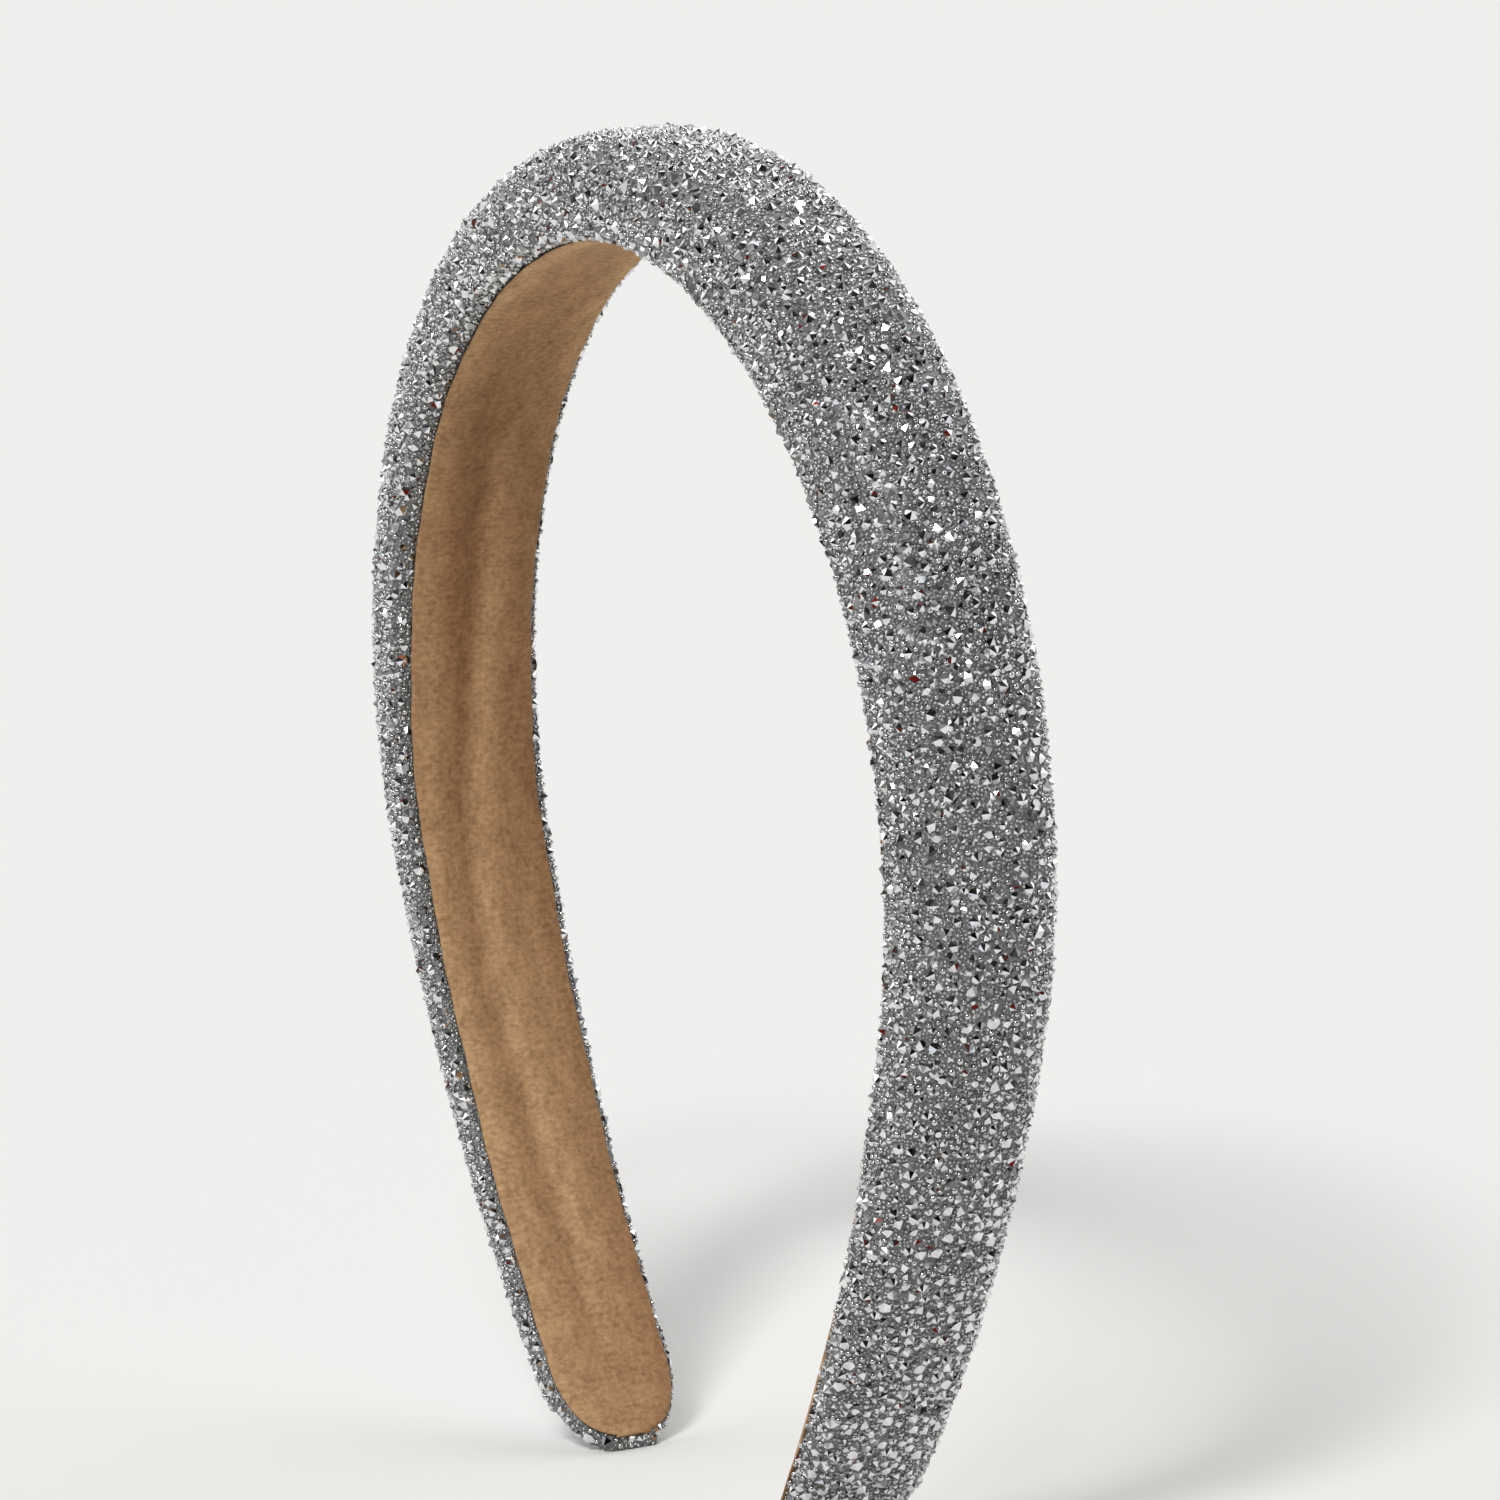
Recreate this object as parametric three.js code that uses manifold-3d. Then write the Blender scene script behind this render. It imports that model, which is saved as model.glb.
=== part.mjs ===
// Padded glitter headband, standing upright on its two tips.
// Millimetres, +Z up. X runs from ear to ear, Y across the band, and the origin is on the floor,
// midway between the tips.
import * as THREE from 'three';
import { mergeVertices } from 'three/addons/utils/BufferGeometryUtils.js';
import Module from 'manifold-3d';

// Hoop: the curve that the padding is built on, one crown arc and a flatter leg arc on each side
const CROWN_RADIUS = 60;
const CROWN_ANGLE = THREE.MathUtils.degToRad(106.8);
const LEG_RADIUS = 182;
const LEG_ANGLE = THREE.MathUtils.degToRad(22.5);

// Padded band: width across the head, pad height outside the curve, belly height inside it,
// and how much fuller the pad is at the shoulders
const BAND_AT = {
  crown: { width: 18.9, pad: 10.2, belly: 1 },
  tip: { width: 15.9, pad: 0.8, belly: 1.5 },
};
const WIDTH_TAPER = 2.2;
const PAD_TAPER = 2.5;
const SHOULDER = { at: 38, reach: 28, height: 0.5 };
const PAD_SQUARENESS = 3.1;
const BELLY_SQUARENESS = 3;

// Tips: rounded in plan, with the cloth folded round the end and flattened where it rests
const TIP_ROUNDING = 11;
const TIP_SQUARENESS = 2;
const TIP_END_WIDTH = 0.42;
const TIP_FOLD = 1.2;
const TIP_END_HEIGHT = 0.5;
const FOOT_FLATTENING = 0.7;

// Suede lining: a strip glued along the inside, leaving a rim of cloth round it
const LINING_RIM_AT = { crown: 2, tip: 1 };
const LINING_RIM_TAPER = 1.5;
const LINING_END_RIM = 1.2;
const LINING_ROUNDING = 8.8;
const LINING_SQUARENESS = 2.2;
const LINING_END_WIDTH = 0.3;
const LINING_THICKNESS = 0.6;
const LINING_EDGE_ROUNDING = 0.3;
const GLUE_GAP = 0.3;

// Facets along the hoop and around each section
const STEPS_PER_SIDE = 42;
const TIP_STEPS = 7;
const BAND_SIDES = 32;
const LINING_COLUMNS = 6;

const CROWN_LENGTH = CROWN_RADIUS * CROWN_ANGLE;
const HALF_LENGTH = CROWN_LENGTH + LEG_RADIUS * LEG_ANGLE;

// Point and outward direction of the hoop curve, at a length measured from the top of the crown
function hoopAt(length) {
  const side = Math.sign(length) || 1;
  const run = Math.abs(length);
  const onCrown = run <= CROWN_LENGTH;
  const angle = onCrown ? run / CROWN_RADIUS : CROWN_ANGLE + (run - CROWN_LENGTH) / LEG_RADIUS;
  const radius = onCrown ? CROWN_RADIUS : LEG_RADIUS;
  const centreShift = CROWN_RADIUS - radius;
  const shiftAngle = onCrown ? 0 : CROWN_ANGLE;
  const outX = Math.sin(angle);
  const outZ = Math.cos(angle);
  return {
    x: side * (radius * outX + centreShift * Math.sin(shiftAngle)),
    z: radius * outZ + centreShift * Math.cos(shiftAngle),
    outX: side * outX,
    outZ,
  };
}

// How far a rounded outline still reaches, from 1 where the rounding starts to 0 at its end
function rounding(distanceToEnd, reach, power) {
  const into = THREE.MathUtils.clamp(1 - distanceToEnd / reach, 0, 1);
  return (1 - into ** power) ** (1 / power);
}

// Width, pad and belly of the band at a length along the hoop
function bandAt(length) {
  const run = Math.abs(length);
  const share = run / HALF_LENGTH;
  const toEnd = HALF_LENGTH - run;
  const plan = Math.max(rounding(toEnd, TIP_ROUNDING, TIP_SQUARENESS), TIP_END_WIDTH);
  const fold = Math.max(rounding(toEnd, TIP_FOLD, 2), TIP_END_HEIGHT);
  const shoulder = SHOULDER.height * Math.exp(-(((run - SHOULDER.at) / SHOULDER.reach) ** 2));
  const { crown, tip } = BAND_AT;
  return {
    halfWidth: 0.5 * plan * THREE.MathUtils.lerp(crown.width, tip.width, share ** WIDTH_TAPER),
    pad: fold * (THREE.MathUtils.lerp(crown.pad, tip.pad, share ** PAD_TAPER) + shoulder),
    belly: fold * THREE.MathUtils.lerp(crown.belly, tip.belly, share),
  };
}

// A point of a section, given across the band and outward from the hoop curve
function placed(hoop, across, outward) {
  return [hoop.x + outward * hoop.outX, across, hoop.z + outward * hoop.outZ];
}

// One round of the padded band: a full dome outside, a flatter belly inside
function bandSection(length) {
  const hoop = hoopAt(length);
  const { halfWidth, pad, belly } = bandAt(length);
  const points = [];
  for (let side = 0; side < BAND_SIDES; side += 1) {
    const angle = (2 * Math.PI * side) / BAND_SIDES;
    const cos = Math.cos(angle);
    const sin = Math.sin(angle);
    const power = 2 / (sin >= 0 ? PAD_SQUARENESS : BELLY_SQUARENESS);
    const across = halfWidth * Math.sign(cos) * Math.abs(cos) ** power;
    const outward = (sin >= 0 ? pad : -belly) * Math.abs(sin) ** power;
    points.push(placed(hoop, across, outward));
  }
  return points;
}

// Half width of the lining at a length along the hoop
function liningHalfWidth(length) {
  const share = Math.abs(length) / HALF_LENGTH;
  const toEnd = HALF_LENGTH - LINING_END_RIM - Math.abs(length);
  const plan = Math.max(rounding(toEnd, LINING_ROUNDING, LINING_SQUARENESS), LINING_END_WIDTH);
  const width = THREE.MathUtils.lerp(BAND_AT.crown.width, BAND_AT.tip.width, share ** WIDTH_TAPER);
  const rim = THREE.MathUtils.lerp(LINING_RIM_AT.crown, LINING_RIM_AT.tip, share ** LINING_RIM_TAPER);
  return plan * (0.5 * width - rim);
}

// One round of the lining: it follows the belly at the glue gap, with softened edges
function liningSection(length) {
  const hoop = hoopAt(length);
  const { halfWidth, belly } = bandAt(length);
  const liningHalf = liningHalfWidth(length);
  const back = [];
  const face = [];
  for (let column = 0; column <= LINING_COLUMNS; column += 1) {
    const share = (2 * column) / LINING_COLUMNS - 1;
    const atEdge = column === 0 || column === LINING_COLUMNS;
    const across = share * liningHalf;
    const reach = Math.min(Math.abs(across) / halfWidth, 1);
    const bellyHere = belly * (1 - reach ** BELLY_SQUARENESS) ** (1 / BELLY_SQUARENESS);
    const backDepth = bellyHere + GLUE_GAP;
    const faceDepth = backDepth + LINING_THICKNESS - (atEdge ? LINING_EDGE_ROUNDING : 0);
    back.push(placed(hoop, across, -backDepth));
    face.push(placed(hoop, across, -faceDepth));
  }
  return [...back.reverse(), ...face];
}

// Lengths of the sections, evenly spaced along the legs and crown and close together at the tips
function stations(halfLength, tipReach) {
  const run = halfLength - tipReach;
  const lengths = [];
  for (let step = -STEPS_PER_SIDE; step <= STEPS_PER_SIDE; step += 1) {
    lengths.push((run * step) / STEPS_PER_SIDE);
  }
  for (let step = 1; step <= TIP_STEPS; step += 1) {
    const closer = 1 - (1 - step / TIP_STEPS) ** 2;
    lengths.push(run + tipReach * closer);
    lengths.unshift(-run - tipReach * closer);
  }
  return lengths;
}

// Closed skin through a row of rounds, with a fan over each end
function loft(sections) {
  const around = sections[0].length;
  const vertices = sections.flat();
  const triangles = [];
  for (let row = 0; row + 1 < sections.length; row += 1) {
    for (let side = 0; side < around; side += 1) {
      const next = (side + 1) % around;
      const a = row * around + side;
      const b = row * around + next;
      const c = (row + 1) * around + next;
      const d = (row + 1) * around + side;
      triangles.push(a, b, c, a, c, d);
    }
  }
  const lastRow = (sections.length - 1) * around;
  for (let side = 1; side + 1 < around; side += 1) {
    triangles.push(0, side + 1, side);
    triangles.push(lastRow, lastRow + side, lastRow + side + 1);
  }
  const geometry = new THREE.BufferGeometry();
  geometry.setAttribute('position', new THREE.Float32BufferAttribute(vertices.flat(), 3));
  geometry.setIndex(triangles);
  return geometry;
}

const wasm = await Module();
wasm.setup();

function toSolid(geometry) {
  const bare = geometry.clone();
  bare.deleteAttribute('normal');
  bare.deleteAttribute('uv');
  const merged = mergeVertices(bare);
  return new wasm.Manifold(new wasm.Mesh({
    numProp: 3,
    vertProperties: new Float32Array(merged.attributes.position.array),
    triVerts: new Uint32Array(merged.index.array),
  }));
}

function toGeometry(solid) {
  const { vertProperties, triVerts } = solid.getMesh();
  const geometry = new THREE.BufferGeometry();
  geometry.setAttribute('position', new THREE.BufferAttribute(vertProperties, 3));
  geometry.setIndex(new THREE.BufferAttribute(triVerts, 1));
  return geometry;
}

// Lift the hoop so that only the flattened cloth of the tips would reach below the floor
function standing(geometry, lowest) {
  return geometry.translate(0, 0, -FOOT_FLATTENING - lowest);
}

// Cut away what would reach below the floor, so that each tip has a flat foot
function flattened(geometry) {
  const span = 4 * CROWN_RADIUS;
  const floor = new THREE.BoxGeometry(span, span, span).translate(0, 0, -span / 2);
  return toGeometry(toSolid(geometry).subtract(toSolid(floor)));
}

const band = loft(stations(HALF_LENGTH, TIP_ROUNDING).map(bandSection));
band.computeBoundingBox();
const lowest = band.boundingBox.min.z;
const liningLength = HALF_LENGTH - LINING_END_RIM;
const lining = loft(stations(liningLength, LINING_ROUNDING).map(liningSection));

const glitterCloth = new THREE.MeshStandardMaterial({ color: 0x9c9c9e, roughness: 0.35, metalness: 0.6 });
const tanSuede = new THREE.MeshStandardMaterial({ color: 0x96714a, roughness: 0.95, metalness: 0 });

function subPart(name, geometry, material) {
  geometry.computeVertexNormals();
  const mesh = new THREE.Mesh(geometry, material);
  mesh.name = name;
  return mesh;
}

const headband = new THREE.Group();
headband.add(subPart('padded_band', flattened(standing(band, lowest)), glitterCloth));
headband.add(subPart('suede_lining', standing(lining, lowest), tanSuede));

export default headband;
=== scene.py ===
"""Looks of the padded glitter headband: stone-paved cloth round the padding, and a tan suede lining.

Sizes are in millimetres until a mesh is made. X runs from ear to ear, Y across the band to its back and Z up.
Lengths are measured along the hoop from the top of the crown. A rise or fade is a pair of lengths, where a
change along the hoop starts and where it ends. Places across the lining run from -1 at its front edge to 1 at
its back edge.
"""
import itertools
import math

import bpy
import numpy as np
from mathutils import Matrix, Vector


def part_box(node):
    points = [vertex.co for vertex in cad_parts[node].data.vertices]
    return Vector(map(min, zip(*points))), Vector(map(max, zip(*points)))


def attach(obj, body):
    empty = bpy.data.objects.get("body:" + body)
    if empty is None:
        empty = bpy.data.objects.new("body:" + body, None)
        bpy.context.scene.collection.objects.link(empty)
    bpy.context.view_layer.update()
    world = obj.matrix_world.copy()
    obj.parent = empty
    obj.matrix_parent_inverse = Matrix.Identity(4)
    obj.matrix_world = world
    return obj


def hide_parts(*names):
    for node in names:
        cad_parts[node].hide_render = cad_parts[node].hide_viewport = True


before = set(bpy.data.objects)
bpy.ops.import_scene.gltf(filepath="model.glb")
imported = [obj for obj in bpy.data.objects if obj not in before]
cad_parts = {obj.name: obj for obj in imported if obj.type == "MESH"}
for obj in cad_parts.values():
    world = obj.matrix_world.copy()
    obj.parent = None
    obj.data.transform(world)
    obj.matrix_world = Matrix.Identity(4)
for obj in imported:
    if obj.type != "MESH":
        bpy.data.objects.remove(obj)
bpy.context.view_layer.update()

MM = 0.001
FULL_TURN = 2 * math.pi
LEAST_NORMAL = 1e-9
RANDOM_SEED = 20261
BODY = "root"
# Colour attribute: tints of foil and beads, a few facets' painted red reflection, the suede's painted light
# and shade
TINT_AND_PAINTED_LIGHT = "tint"

# Hoop: the curve that the padding is built on, one crown arc and a flatter leg arc on each side
CROWN_RADIUS = 60.0
CROWN_ANGLE = math.radians(106.8)
LEG_RADIUS = 182.0
LEG_ANGLE = math.radians(22.5)
CROWN_LENGTH = CROWN_RADIUS * CROWN_ANGLE
HALF_LENGTH = CROWN_LENGTH + LEG_RADIUS * LEG_ANGLE

# Padded band: width across the head, pad height outside the curve, belly height inside it,
# and how much fuller the pad is at the shoulders
CROWN_WIDTH = 18.9
TIP_WIDTH = 15.9
WIDTH_TAPER = 2.2
CROWN_PAD = 10.2
TIP_PAD = 0.8
PAD_TAPER = 2.5
CROWN_BELLY = 1.0
TIP_BELLY = 1.5
SHOULDER_AT = 38.0
SHOULDER_REACH = 28.0
SHOULDER_HEIGHT = 0.5
PAD_SQUARENESS = 3.1
BELLY_SQUARENESS = 3.0

# Tips: rounded in plan, with the cloth folded round the end
TIP_ROUNDING = 11.0
TIP_SQUARENESS = 2.0
TIP_END_WIDTH = 0.42
TIP_FOLD = 1.2
TIP_FOLD_SQUARENESS = 2
TIP_END_HEIGHT = 0.5

# Cloth: it lies this far inside the outline, in front and at the back, but by no more than a share of the
# section, and it keeps a share of the pad. The lining hides what lies deeper than a share of the belly.
FRONT_INSET = 0.05
BACK_INSET = 0.4
GREATEST_INSET_SHARE = 0.3
LEAST_PAD_SHARE = 0.5
HIDDEN_BELLY_SHARE = 0.3
CLOTH_ROWS = 440
CLOTH_COLUMNS = 72

# Cloth's unevenness: slanting waves, each with its own pitch along the hoop and number of turns round it
CLOTH_WAVES = 7
CLOTH_WAVE_HEIGHT = 0.05
CLOTH_WAVE_PITCH = (4, 16)
CLOTH_WAVE_TURNS = (1, 4)

# Lining: a strip glued along the inside, leaving a rim of cloth round it
CROWN_RIM = 2.0
TIP_RIM = 1.0
RIM_TAPER = 1.5
LINING_END_RIM = 1.2
LINING_END_TRIM = 1e-6
LINING_ROUNDING = 8.8
LINING_SQUARENESS = 2.2
LINING_END_WIDTH = 0.3
LINING_THICKNESS = 0.6
GLUE_GAP = 0.06
LINING_ROWS = 460
LINING_COLUMNS = 30
LINING_BACK_COLUMNS = 6
FLAT_BACK_GAP = 5.0

# Lining's drift off the middle: to the back over the crown, and to the front by one tip
CROWN_DRIFT = 0.6
CROWN_DRIFT_FADE = (75, 115)
TIP_DRIFT = 1.4
TIP_DRIFT_RISE = (128, 160)

# Lining's edges: a long and a short wave as shares of its width, with their pitches, and how they thin out
LONG_EDGE_WAVE = 0.01
LONG_EDGE_PITCH = 23
LONG_EDGE_SLANT = 2
SHORT_EDGE_WAVE = 0.006
SHORT_EDGE_PITCH = 7
EDGE_SQUARENESS = 10
EDGE_ROUNDNESS = 2.5
EDGE_THICKNESS_SHARE = 0.35

# Lining's folds: place across it, reach and height of each, how they waver and shift along the hoop,
# where they rise from the crown, and where they fade, which is measured from the hoop's end
LINING_FOLDS = ((-0.72, 0.2, 0.14), (0.26, 0.28, 0.24), (-0.22, 0.2, -0.32))
FOLD_WAVER = 0.12
FOLD_WAVER_PITCH = 80
FOLD_SHIFT = 0.15
FOLD_SHIFT_FADE = (90, 125)
FOLDS_RISE = (50, 85)
FOLDS_FADE_FROM_END = (4, 34)

# Painted light and shade on the suede, from how light falls on it: along the hoop, on the slopes of the
# folds, by the edges and in the hollow of each shoulder, and how strongly red, green and blue follow it
CROWN_PAINTED_LIGHT = 1.02
SHOULDER_PAINTED_SHADE = 0.13
SHOULDER_PAINTED_SHADE_RISE = (20, 60)
LEG_PAINTED_LIGHT = 0.185
LEG_PAINTED_LIGHT_RISE = (95, 140)
FOLD_PAINTED_SHADING = 0.1
FOLD_SLOPE_STEP = 0.02
EDGE_PLACES = (0.4, 0.95)
FRONT_EDGE_PAINTED_LIGHT = 0.14
FRONT_CROWN_PAINTED_LIGHT = 0.16
BACK_CROWN_PAINTED_LIGHT = 0.3
CROWN_PAINTED_LIGHT_FADE = (35, 75)
BACK_LEG_PAINTED_SHADE = 0.2
BACK_LEG_PAINTED_SHADE_RISE = (85, 110)
HOLLOW_PAINTED_SHADE = 0.14
HOLLOW_PLACE = -0.3
HOLLOW_REACH = 0.4
HOLLOW_RISE = (40, 58)
HOLLOW_FADE = (80, 98)
PAINTED_LIGHT_POWERS = (1, 1.3, 1.5)

# Suede: its mottle and its nap as scales with a stretch along the strip, how they mix, and their colours
MOTTLE_SCALE = 420
MOTTLE_STRETCH = (1, 0.5, 1)
NAP_SCALE = 1400
NAP_STRETCH = (1, 1.3, 1)
NAP_SHARE = 0.4
NAP_HEIGHT = 0.13
SUEDE_DARK_AT = 0.37
SUEDE_DARK = (0.235, 0.121, 0.057, 1)
SUEDE_PALE_AT = 0.63
SUEDE_PALE = (0.455, 0.271, 0.134, 1)
SUEDE_SHEEN = (0.9, 0.65, 0.4, 1)

# Grain under the stones: its size and height, where its domes start and top out, its silver,
# and the painted shade in the gaps between its beads
GRAIN_SIZE = 0.36
GRAIN_HEIGHT = 0.14
GRAIN_DOME = (0.62, 0.1)
GRAIN_SILVER = (0.275, 0.545)
GRAIN_GAP_PAINTED_SHADE = 0.4

# Scattering: room above the floor, and the patches where more or fewer things lie, made of waves whose
# pitches spread about their mean
FLOOR_ROOM = 0.08
PATCH_WAVES = 9
PATCH_SPREAD = (0.6, 1.4)
PATCH_DEPTH = 0.6
LEAST_CHANCE = 0.1

# Stones: small foiled chatons, with point, table, crown and room to the lining as shares of the radius
STONE_COUNT = 6600
STONE_TRIES = 90000
STONE_RADIUS = (0.5, 0.86)
STONE_POINT = 0.73
STONE_TABLE = 0.6
STONE_CROWN = 0.34
STONE_SPACING = 0.9
STONE_EDGE_ROOM = 0.8
STONE_PATCHES = {"average": 0.6, "pitch": 9, "seed": 1}
SIX_SIDED_SHARE = 0.45

# Stones' poses: most have their point up, a few their table, and the rest lie on their side.
# They sink into the cloth by shares of the radius.
POINT_UP_SHARE = 0.87
POINT_UP_LEAN = math.radians(18)
POINT_UP_SINK = 0.04
TABLE_UP_LEAN_SHARE = 0.8
ON_SIDE_SHARE = 0.085
ON_SIDE_LEAN = (math.radians(40), math.radians(75))
ON_SIDE_SINK = 0.3

# Stones' foil: greys of the dark and bright facets, a cool cast on some, and the few facets that carry
# a painted reflection in dark red and brown
DARK_FACET_SHARE = 0.28
DARK_FACET_GREY = (0.06, 0.42)
BRIGHT_FACET_GREY = (0.68, 0.9)
COOL_FACET_SHARE = 0.12
COOL_CAST = (0.93, 0.96, 1.04)
PAINTED_RED_REFLECTION_SHARE = 0.009
PAINTED_RED_REFLECTION = (0.14, 0.015, 0.011)
PAINTED_BROWN_REFLECTION_SHARE = 0.002
PAINTED_BROWN_REFLECTION = (0.1, 0.035, 0.024)
FOIL_ROUGHNESS = 0.05
RED_REFLECTION_ROUGHNESS = 0.45

# Round beads: silvered glass between the stones, as domes with rings at degrees from the top. They and the
# microbeads keep clear of only a share of each stone's radius.
PEARL_COUNT = 4200
PEARL_TRIES = 60000
PEARL_RADIUS = (0.27, 0.44)
PEARL_SPACING = 0.95
PEARL_EDGE_ROOM = 0.7
PEARL_PATCHES = {"average": 0.6, "pitch": 7, "seed": 3}
PEARL_LIFT = 0.05
PEARL_SIDES = 8
PEARL_RINGS = (110, 72, 36)
PEARL_GREY = (0.36, 0.74)
PEARL_ROUGHNESS = 0.14
STONE_SHARE_FOR_BEADS = 0.78

# Microbeads: a silver grain in the gaps that are left, as domes with a base and a twisted ring
BEAD_COUNT = 36000
BEAD_TRIES = 240000
BEAD_RADIUS = (0.14, 0.23)
BEAD_SPACING = 0.93
BEAD_EDGE_ROOM = 0.4
BEAD_PATCHES = {"average": 0.75, "pitch": 6, "seed": 2}
BEAD_LIFT = 0.25
BEAD_SIDES = 5
BEAD_BASE = 105
BEAD_RING = 48
BEAD_TWIST = 0.5
BEAD_GREY = (0.36, 0.79)
BEAD_ROUGHNESS = 0.38
BEAD_PIECES = 4

# Camera, as found from the outline in the 1500 pixel square photograph, with its angles in degrees
IMAGE_SIDE = 1500
FOCAL_PIXELS = 12052
CAMERA_AZIMUTH = 63.62
CAMERA_ELEVATION = 11.12
CAMERA_ROLL = -2.11
CAMERA_DISTANCE = 1301.6
AIM_HEIGHT = 60.99
AIM_RIGHT = 4.37
AIM_UP = 21.17
SENSOR_WIDTH = 36.0

# Floor, and the backdrop that it runs into
FLOOR_SIDE = 30000
FLOOR_COLOUR = (0.748, 0.748, 0.734, 1)
BACKDROP_COLOUR = (0.863, 0.863, 0.847, 1)

# Studio lamps: name, azimuth from the camera, elevation, strength and width in degrees
STUDIO_LAMPS = (("key_softbox", -25, 46, 1.75, 13), ("front_softbox", -8, 42, 0.45, 8))

# Studio walls and ceiling: how bright each is, and the elevations in degrees where walls turn to ceiling
WALL_LIGHT = 0.18
CEILING_LIGHT = 0.14
WALL_END = 40
CEILING_START = 60

# Studio panels: azimuth from the camera, elevation, reach in degrees and strength. They are the pale
# left and right walls, softboxes at the back, right and left, and a dark screen in front.
STUDIO_PANELS = (
    (-80, 0, 50, 0.25),
    (95, 5, 50, 0.3),
    (180, 36, 56, 1.12),
    (122, 40, 36, 1.35),
    (-114, 38, 22, 2.2),
    (0, 10, 50, -0.15),
)

crown_shoulder = SHOULDER_HEIGHT * math.exp(-((SHOULDER_AT / SHOULDER_REACH) ** 2))
crown_centre_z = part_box("padded_band")[1].z / MM - CROWN_RADIUS - CROWN_PAD - crown_shoulder
rng = np.random.default_rng(RANDOM_SEED)


# Shape of the band

def hoop_at(length):
    """Points and outward directions of the hoop curve, at lengths measured from the top of the crown."""
    side = np.where(length < 0, -1.0, 1.0)
    run = np.abs(length)
    on_crown = run <= CROWN_LENGTH
    angle = np.where(on_crown, run / CROWN_RADIUS, CROWN_ANGLE + (run - CROWN_LENGTH) / LEG_RADIUS)
    radius = np.where(on_crown, CROWN_RADIUS, LEG_RADIUS)
    shift = CROWN_RADIUS - radius
    out_x, out_z = np.sin(angle), np.cos(angle)
    x = side * (radius * out_x + shift * math.sin(CROWN_ANGLE))
    z = radius * out_z + shift * math.cos(CROWN_ANGLE) + crown_centre_z
    return x, z, side * out_x, out_z


def rounding(to_end, reach, power):
    """How far a rounded outline still reaches, from 1 where the rounding starts to 0 at its end."""
    into = np.clip(1 - to_end / reach, 0, 1)
    return (1 - into ** power) ** (1 / power)


def smooth_step(value, start, end):
    """0 before the start, 1 past the end and a soft rise between them."""
    share = np.clip((value - start) / (end - start), 0, 1)
    return share * share * (3 - 2 * share)


def bell(value, middle, reach):
    """1 in the middle, falling off softly on both sides."""
    return np.exp(-(((value - middle) / reach) ** 2))


def band_at(length):
    """Half width, pad and belly of the band at lengths along the hoop."""
    run = np.abs(length)
    share = run / HALF_LENGTH
    to_end = HALF_LENGTH - run
    plan = np.maximum(rounding(to_end, TIP_ROUNDING, TIP_SQUARENESS), TIP_END_WIDTH)
    fold = np.maximum(rounding(to_end, TIP_FOLD, TIP_FOLD_SQUARENESS), TIP_END_HEIGHT)
    half_width = 0.5 * plan * (CROWN_WIDTH + (TIP_WIDTH - CROWN_WIDTH) * share ** WIDTH_TAPER)
    shoulder = SHOULDER_HEIGHT * bell(run, SHOULDER_AT, SHOULDER_REACH)
    pad = fold * (CROWN_PAD + (TIP_PAD - CROWN_PAD) * share ** PAD_TAPER + shoulder)
    belly = fold * (CROWN_BELLY + (TIP_BELLY - CROWN_BELLY) * share)
    return half_width, pad, belly


def lining_half_width(length):
    """Half width of the lining at lengths along the hoop, below zero past its rounded ends."""
    run = np.abs(length)
    share = run / HALF_LENGTH
    to_end = HALF_LENGTH - LINING_END_RIM - run
    plan = np.maximum(rounding(to_end, LINING_ROUNDING, LINING_SQUARENESS), LINING_END_WIDTH)
    band = 0.5 * (CROWN_WIDTH + (TIP_WIDTH - CROWN_WIDTH) * share ** WIDTH_TAPER)
    rim = CROWN_RIM + (TIP_RIM - CROWN_RIM) * share ** RIM_TAPER
    return np.where(to_end > 0, plan * (band - rim), -1.0)


def lining_drift(length):
    """How far off the middle the lining lies: to the back over the crown, to the front by one tip."""
    over_crown = 1 - smooth_step(np.abs(length), *CROWN_DRIFT_FADE)
    by_tip = smooth_step(length, *TIP_DRIFT_RISE)
    return CROWN_DRIFT * over_crown - TIP_DRIFT * by_tip


def placed(hoop, across, outward):
    """Points of sections, given across the band and outward from the hoop curve."""
    x, z, out_x, out_z = hoop
    return np.stack([x + outward * out_x, across, z + outward * out_z], axis=-1)


def rows_along(half_length, tip_reach, count):
    """Lengths from tip to tip, with a tenth of them crowded into each tip."""
    tip_count = count // 10
    run = half_length - tip_reach
    middle = np.linspace(-run, run, count - 2 * tip_count)
    closer = 1 - (1 - np.arange(1, tip_count + 1) / tip_count) ** 2
    end = run + tip_reach * closer
    return np.concatenate([-end[::-1], middle, end])


# Meshes from arrays

def new_mesh(name, points, loops, sizes, smooth):
    """A mesh object from points in millimetres, the corners of its faces and each face's corner count."""
    mesh = bpy.data.meshes.new(name)
    mesh.vertices.add(len(points))
    mesh.vertices.foreach_set("co", (points * MM).astype(np.float32).ravel())
    mesh.loops.add(len(loops))
    mesh.loops.foreach_set("vertex_index", loops.astype(np.int32))
    starts = np.concatenate([[0], np.cumsum(sizes)[:-1]])
    mesh.polygons.add(len(sizes))
    mesh.polygons.foreach_set("loop_start", starts.astype(np.int32))
    mesh.polygons.foreach_set("use_smooth", np.full(len(sizes), smooth))
    mesh.update(calc_edges=True)
    mesh.validate()
    piece = bpy.data.objects.new(name, mesh)
    bpy.context.scene.collection.objects.link(piece)
    return piece


def per_point(grid):
    """The values of a skin's points, row by row, with the mean of each end for its fan point."""
    return np.concatenate([grid.reshape(-1, grid.shape[-1]), grid[0].mean(0)[None], grid[-1].mean(0)[None]])


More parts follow.
